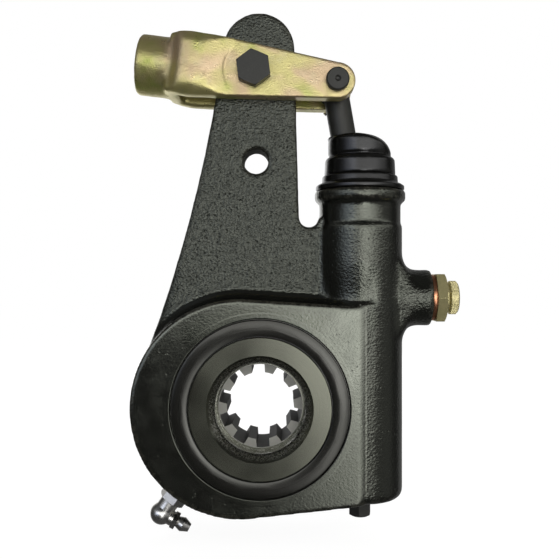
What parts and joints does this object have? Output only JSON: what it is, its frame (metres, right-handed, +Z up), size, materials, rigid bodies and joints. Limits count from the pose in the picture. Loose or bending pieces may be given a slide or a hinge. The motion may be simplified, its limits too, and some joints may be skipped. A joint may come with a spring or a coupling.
{
  "type": "brake slack adjuster",
  "caption": "Self-adjusting brake slack adjuster: cast lever arm with splined worm gear, clevis, actuator rod, rubber boot, pull pawl and grease fitting.",
  "frame": {"origin": "centre of the splined camshaft bore, halfway through the gear hub", "axes": "+Y along the camshaft bore towards the back, +Z up the arm towards the clevis pin, +X towards the actuator barrel"},
  "size_m": [0.1508, 0.0453, 0.2418],
  "materials": {
    "painted_casting": "black semi-gloss paint over a sand casting",
    "black_cover": "black coated pressed steel",
    "black_steel": "black oxide",
    "gear_steel": "dark machined steel",
    "spring_steel": "oiled spring steel",
    "yellow_zinc": "forged steel with yellow zinc plate",
    "bright_zinc": "bright zinc plate",
    "brass": "turned brass",
    "bronze": "bearing bronze",
    "copper": "soft copper",
    "black_rubber": "black moulded rubber"
  },
  "bodies": {
    "housing": {"housing": "painted_casting", "arm_bush": "bronze", "front_cover": "black_cover", "front_seal": "black_rubber", "front_washer": "bronze", "rear_seal": "black_rubber", "rear_washer": "bronze", "worm_washer": "bronze", "worm_bush": "bronze", "worm_ring": "spring_steel", "worm_seal": "black_rubber", "boot_cover": "black_cover", "boot": "black_rubber", "pawl_spring": "spring_steel", "pawl_cap": "brass", "pawl_gasket": "copper", "grease_fitting": "bright_zinc", "grease_ball": "bright_zinc"},
    "clevis": {"clevis": "yellow_zinc", "clevis_pin": "black_steel", "clevis_cotter": "bright_zinc", "link_pin": "black_steel", "link_cotter": "bright_zinc"},
    "rod": {"actuator_rod": "black_steel"},
    "piston": {"piston": "gear_steel", "piston_pin": "gear_steel"},
    "sleeve": {"sleeve": "gear_steel", "piston_ring": "spring_steel"},
    "worm": {"worm": "gear_steel"},
    "gear": {"worm_gear": "gear_steel"},
    "pawl": {"pawl": "gear_steel", "pawl_button": "brass"}
  },
  "joints": [
    {"name": "clevis_swing", "type": "hinge", "parent": "housing", "child": "clevis", "pos_m": [-0.003, 0, 0.1524], "axis": [0, -1, 0], "range_deg": [-8, 20]},
    {"name": "rod_pivot", "type": "hinge", "parent": "clevis", "child": "rod", "pos_m": [0.03482, 0, 0.14776], "axis": [0, -1, 0], "range_deg": [-20.5, 8.5]},
    {"name": "piston_slide", "type": "slide", "parent": "housing", "child": "piston", "axis": [0, 0, 1], "range_m": [-0.0054, 0.0133], "deforming": ["boot"]},
    {"name": "worm_turn", "type": "hinge", "parent": "housing", "child": "worm", "pos_m": [0.0465, 0, 0], "axis": [0, 0, 1], "continuous": true},
    {"name": "gear_turn", "type": "hinge", "parent": "housing", "child": "gear", "pos_m": [0, 0, 0], "axis": [0, 1, 0], "continuous": true},
    {"name": "sleeve_turn", "type": "hinge", "parent": "piston", "child": "sleeve", "pos_m": [0.0465, 0, 0.06597], "axis": [0, 0, 1], "continuous": true},
    {"name": "pawl_pull", "type": "slide", "parent": "housing", "child": "pawl", "axis": [1, 0, 0], "range_m": [0, 0.002], "stiffness_N_per_m": 1500, "springref_m": -0.004, "deforming": ["pawl_spring"]}
  ],
  "couplings": [
    {"joint": "rod_pivot", "follows": "clevis_swing", "ratio": -1},
    {"joint": "piston_slide", "follows": "clevis_swing", "m_per_rad": 0.0376},
    {"joint": "gear_turn", "follows": "worm_turn", "ratio": 0.045455},
    {"joint": "sleeve_turn", "follows": "worm_turn", "ratio": 1}
  ]
}
